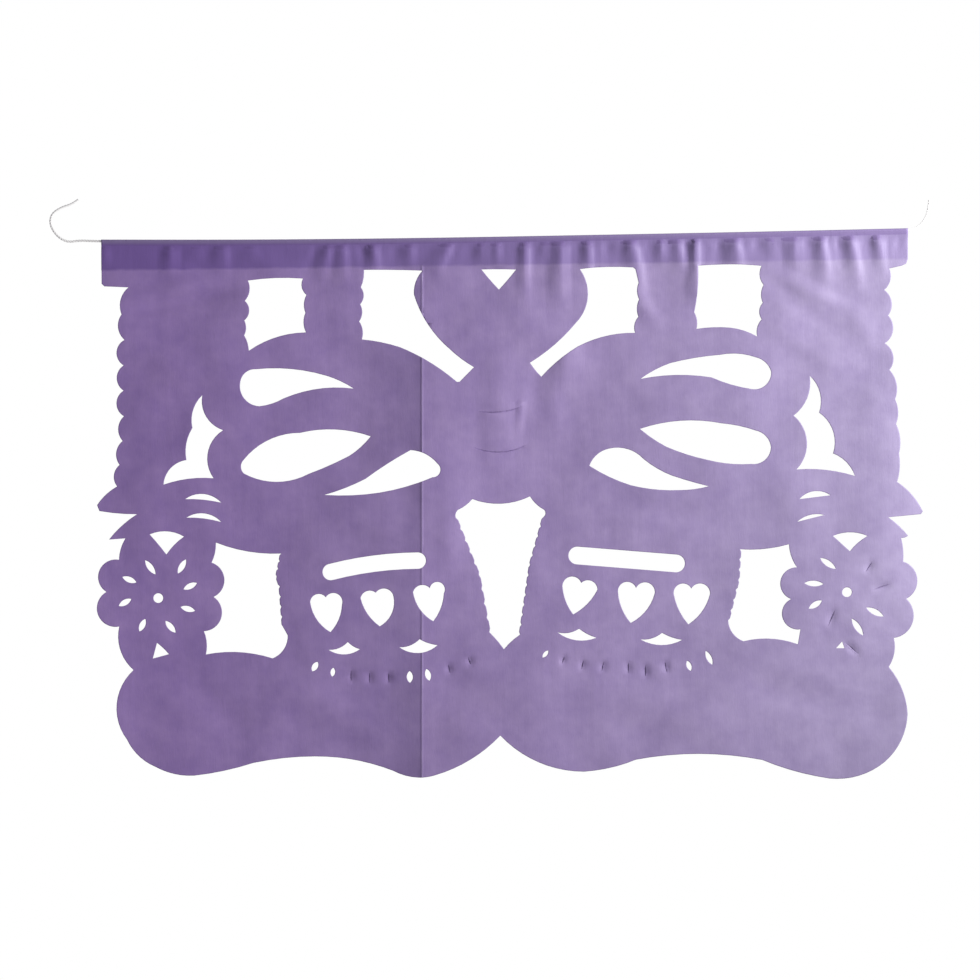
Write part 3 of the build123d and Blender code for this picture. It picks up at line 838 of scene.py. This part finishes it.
def hang(bm):
    place = np.array([v.co for v in bm.verts])
    x, drop = place[:, 0] / MM, -place[:, 2] / MM
    lips = np.array([v.is_boundary and v.co.y < 0.5 * FLAP_GAP for v in bm.verts])
    out = hem_folds(x, drop) + soft_folds(x, drop) + dimples(x, drop) + crease(x, drop)
    out += waves(x, drop) + crumple(x, drop)
    out *= np.clip((drop - SEAM_DROP / MM) / OUT_FROM_SEAM, 0, 1)
    place[:, 1] -= out * MM
    print("points on the lips of the shut slits:", close_slits(place, lips))
    place[:, 2] += sag_of_string(place[:, 0]) * np.clip(1 - drop / SAG_FADE, 0, 1)
    for vert, co in zip(bm.verts, place):
        vert.co = co
    return out


stands_out = hang(sheet)
print("stands out from", round(stands_out.min(), 2), "to", round(stands_out.max(), 2), "mm")

# %% [markdown]
# Real tissue is about 0.05 mm thick. The sheet becomes an object with smooth faces, and a Solidify
# modifier gives it a tenth of a millimetre, so it is a closed piece with edges on all sides.

# %% The sheet as a piece
PAPER_THICKNESS = 0.1 * MM


def finish_mesh(bm, name):
    mesh = bpy.data.meshes.new(name)
    bm.to_mesh(mesh)
    bm.free()
    mesh.shade_smooth()
    piece = bpy.data.objects.new(name, mesh)
    bpy.context.scene.collection.objects.link(piece)
    return piece


paper = finish_mesh(sheet, "tissue_panel")
thick = paper.modifiers.new("paper thickness", "SOLIDIFY")
thick.thickness = PAPER_THICKNESS
thick.offset = 0
print(paper.name, len(paper.data.polygons), "faces")

# %% [markdown]
# ## Tissue paper
# Dyed tissue is a thin web of wood fibres. It scatters light at the surface, lets some through from
# behind, and has a faint gloss from the rollers that pressed it. So the shader is a mix of a rough
# surface and a Translucent part. Its colour varies in cloudy patches of about 3 cm, where the web is
# thicker, and in fibres of a few millimetres, drawn coarser than real so that they show. Towards the
# right the colour is painted paler and greyer: painted sheen, the gloss that the window light lays on
# that end. Down to the flap's lower edge the paper is painted darker, partly for the two layers of dye
# and partly as painted shade for the light from behind that two layers stop.
# The colours come first. A pair is for thin and thick web, or, for the double paper, left and right.

# %% Colour of the dye
DEEP = ("#8C73AB", "#9B82B5")
# The paler, greyer colour at the right end is painted sheen, the gloss of the window light there.
PAINTED_SHEEN = ("#8C80A2", "#9B90AF")
# The double paper is darker partly for its two layers of dye and partly as painted shade; its right
# colour is paler with painted sheen.
DOUBLE_SHADE_AND_SHEEN = ("#795EA2", "#8B7DA5")
OVER_STRING = "#9284AC"
# A painted highlight along the crease's ridge; CREASE_SHADE is the painted shade beside it.
CREASE_HIGHLIGHT = "#B7AACB"
CREASE_SHADE = "#5F4B7C"
# Painted shade along every cut edge.
RIM_SHADE = "#6E5590"
CREASE_PAINT_SHARE = 0.18
RIM_SHADE_SHARE = 0.35


def value_kept(tree, name):
    return add_node(tree, "ShaderNodeAttribute", attribute_name=name).outputs["Fac"]


def dyed_colour(tree, web, fade, layers):
    """The dye by web and layers, with painted sheen to the right, crease highlight and shade, and rim
    shade.
    """
    deep = mixed(tree, web, *map(srgb, DEEP))
    painted_sheen = mixed(tree, web, *map(srgb, PAINTED_SHEEN))
    single = mixed(tree, fade, deep, painted_sheen)
    # Two layers: partly deeper dye, partly painted shade, with painted sheen towards the right.
    double = mixed(tree, fade, *map(srgb, DOUBLE_SHADE_AND_SHEEN))
    colour = mixed(tree, layers, single, double)
    colour = mixed(tree, value_kept(tree, "on_string"), colour, srgb(OVER_STRING))
    # Painted highlight on the crease's ridge and painted shade on both sides of it.
    worn = value_kept(tree, "worn")
    pale = maths(tree, "MULTIPLY", worn, CREASE_PAINT_SHARE, use_clamp=True)
    dark = maths(tree, "MULTIPLY", worn, -CREASE_PAINT_SHARE, use_clamp=True)
    colour = mixed(tree, pale, colour, srgb(CREASE_HIGHLIGHT))
    colour = mixed(tree, dark, colour, srgb(CREASE_SHADE))
    # Painted shade along every cut edge.
    rim_shade = maths(tree, "MULTIPLY", value_kept(tree, "rim"), RIM_SHADE_SHARE)
    return mixed(tree, rim_shade, colour, srgb(RIM_SHADE))


print("thin and thick web at the left:", *DEEP)

# %% [markdown]
# Four noises in the flat map make up the web and its surface: patches, clouds, fibres and streaks that
# run down the sheet. The lower edge of the double band wanders by about a millimetre.

# %% Tissue paper material
PATCH_SIZE = 34 * MM
CLOUD_SIZE = 9 * MM
FIBRE_LENGTH = 4.0 * MM
FIBRE_WIDTH = 0.7 * MM
STREAK_LENGTH = 70 * MM
STREAK_WIDTH = 5 * MM
WEB_RANGE = (0.8, 1.5)
PAINTED_SHEEN_RANGE = (-200 * MM, 250 * MM)
FLAP_WANDER = 3.0 * MM
FLAP_BLUR = 0.9 * MM


def stretched(tree, place, width, length):
    """The flat place, stretched so that a noise of this width comes out this long down the sheet."""
    feeds = {"Vector": place, "Scale": (1, width / length, 1)}
    return add_node(tree, "ShaderNodeMapping", feeds).outputs[0]


def doubled(tree, place, clouds):
    """One down to the flap's lower edge, which wanders a little, and nothing below it."""
    wandering = maths(tree, "MULTIPLY_ADD", clouds, FLAP_WANDER, place["Y"])
    edge = -FLAP_DROP + 0.5 * FLAP_WANDER
    return ramp(tree, wandering, edge - FLAP_BLUR, edge + FLAP_BLUR)


def tissue_paper():
    material, tree = new_material("tissue_paper")
    flat = add_node(tree, "ShaderNodeUVMap", uv_map="flat").outputs[0]
    patches = noise_of_size(tree, flat, PATCH_SIZE)
    clouds = noise_of_size(tree, flat, CLOUD_SIZE, detail=3.0)
    fibres = noise_of_size(tree, stretched(tree, flat, FIBRE_WIDTH, FIBRE_LENGTH), FIBRE_WIDTH)
    streaks = noise_of_size(tree, stretched(tree, flat, STREAK_WIDTH, STREAK_LENGTH), STREAK_WIDTH)
    web = maths(tree, "MULTIPLY_ADD", fibres, 0.3, maths(tree, "ADD", patches, clouds))
    web = ramp(tree, web, *WEB_RANGE)

    place = add_node(tree, "ShaderNodeSeparateXYZ", {0: flat}).outputs
    # Share of painted sheen: none at the left of this range, full at its right.
    fade = ramp(tree, place["X"], *PAINTED_SHEEN_RANGE)
    colour = dyed_colour(tree, web, fade, doubled(tree, place, clouds))

    relief = maths(tree, "MULTIPLY_ADD", streaks, 1.2, web)
    bump = add_node(tree, "ShaderNodeBump", {"Height": relief, "Strength": 0.3, "Distance": 0.4 * MM})
    surface = add_node(tree, "ShaderNodeBsdfPrincipled", {
        "Base Color": colour,
        "Normal": bump.outputs[0],
        "Roughness": 0.55,
        "Specular IOR Level": 0.35,
        "Sheen Weight": 0.08,
        "Sheen Roughness": 0.5,
    })
    through = add_node(tree, "ShaderNodeBsdfTranslucent", {"Color": colour})
    both = add_node(tree, "ShaderNodeMixShader", {0: 0.3, 1: surface.outputs[0], 2: through.outputs[0]})
    add_node(tree, "ShaderNodeOutputMaterial", {0: both.outputs[0]})
    return material


paper.data.materials.append(tissue_paper())
print("material", paper.data.materials[0].name)

# %% [markdown]
# ## Cotton string
# Bleached cotton yarn is matt and nearly white, with a soft fuzz that shows as a little sheen at its
# edges. A fine noise at the width of a fibre bundle breaks up its colour and its surface.

# %% Cotton string material
FIBRE_BUNDLE = 0.35 * MM


def cotton_string():
    material, tree = new_material("cotton_string")
    place = add_node(tree, "ShaderNodeTexCoord").outputs["Object"]
    fuzz = noise_of_size(tree, place, FIBRE_BUNDLE, detail=3.0)
    bump = add_node(tree, "ShaderNodeBump", {"Height": fuzz, "Strength": 0.5, "Distance": 0.08 * MM})
    surface = add_node(tree, "ShaderNodeBsdfPrincipled", {
        "Base Color": mixed(tree, fuzz, srgb("#D3D1D1"), srgb("#E8E7E6")),
        "Normal": bump.outputs[0],
        "Roughness": 0.9,
        "Specular IOR Level": 0.2,
        "Sheen Weight": 0.3,
    })
    add_node(tree, "ShaderNodeOutputMaterial", {0: surface.outputs[0]})
    return material


twisted_string.data.materials.append(cotton_string())
print("material", twisted_string.data.materials[0].name)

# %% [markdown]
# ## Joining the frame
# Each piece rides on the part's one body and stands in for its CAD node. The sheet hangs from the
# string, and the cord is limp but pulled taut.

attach(paper, "root")
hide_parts("paper_panel")
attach(twisted_string, "root")
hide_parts("hanging_string")

# %% [markdown]
# ## Floor, light and background
# The panel hangs in the air in front of white. A pale floor lies well below it, outside the picture,
# and a faint grain keeps it from looking like a flat card when the panel is seen from above.

# %% Floor
FLOOR_HALF = 1.3
FLOOR_PLACE = (0, -0.6, -0.85)
FLOOR_GRAIN = 60 * MM


def make_floor():
    bm = bmesh.new()
    bmesh.ops.create_grid(bm, x_segments=1, y_segments=1, size=FLOOR_HALF)
    bmesh.ops.translate(bm, verts=bm.verts[:], vec=FLOOR_PLACE)
    floor = finish_mesh(bm, "floor")
    material, tree = new_material("pale_floor")
    place = add_node(tree, "ShaderNodeTexCoord").outputs["Object"]
    colour = mixed(tree, noise_of_size(tree, place, FLOOR_GRAIN), srgb("#E4E3E1"), srgb("#EBEAE8"))
    surface = add_node(tree, "ShaderNodeBsdfPrincipled", {"Base Color": colour, "Roughness": 0.8})
    add_node(tree, "ShaderNodeOutputMaterial", {0: surface.outputs[0]})
    floor.data.materials.append(material)
    return floor


make_floor()
print("floor", -FLOOR_PLACE[2], "m below the string")

# %% [markdown]
# Window light comes from the right. The lamp stands close beside the panel, so its light grazes the
# paper and each fold has a bright side and a dark one, and the right end gets more of it than the left.
# A wide weak lamp behind stands for the rest of the room, so that the back isn't black. The world gives
# soft light all round. Light Path makes it plain white for camera, glossy and transmission rays, so the
# background is white while the soft light on the paper stays weak.

# %% Lamp and world
LAMP_PLACE = Vector((0.74, -0.36, 0.06))
LAMP_AIM = Vector((0.08, 0, -0.15))
LAMP_WATTS = 12.8
LAMP_SIZE = 0.22
ROOM_PLACE = Vector((-0.4, 1.2, 0.3))
ROOM_WATTS = 12.0
ROOM_SIZE = 0.8
WORLD_LIGHT = 0.42


def add_lamp(name, place, watts, size):
    light = bpy.data.lights.new(name, "AREA")
    light.shape = "DISK"
    light.size = size
    light.energy = watts
    lamp = bpy.data.objects.new(name, light)
    lamp.location = place
    lamp.rotation_euler = (LAMP_AIM - place).to_track_quat("-Z", "Y").to_euler()
    bpy.context.scene.collection.objects.link(lamp)


def white_world():
    world = bpy.data.worlds.new("soft_white")
    world.use_nodes = True
    tree = world.node_tree
    tree.nodes.clear()
    path = add_node(tree, "ShaderNodeLightPath").outputs
    seen = maths(tree, "MAXIMUM", path["Is Camera Ray"], path["Is Glossy Ray"])
    seen = maths(tree, "MAXIMUM", seen, path["Is Transmission Ray"])
    soft = add_node(tree, "ShaderNodeBackground", {"Color": srgb("#FBFAFF"), "Strength": WORLD_LIGHT})
    white = add_node(tree, "ShaderNodeBackground", {"Color": (1, 1, 1, 1), "Strength": 1.0})
    both = add_node(tree, "ShaderNodeMixShader", {0: seen, 1: soft.outputs[0], 2: white.outputs[0]})
    add_node(tree, "ShaderNodeOutputWorld", {0: both.outputs[0]})
    bpy.context.scene.world = world


add_lamp("window_light", LAMP_PLACE, LAMP_WATTS, LAMP_SIZE)
add_lamp("room_light", ROOM_PLACE, ROOM_WATTS, ROOM_SIZE)
white_world()
print("lamps", LAMP_WATTS, "and", ROOM_WATTS, "W, world", WORLD_LIGHT)
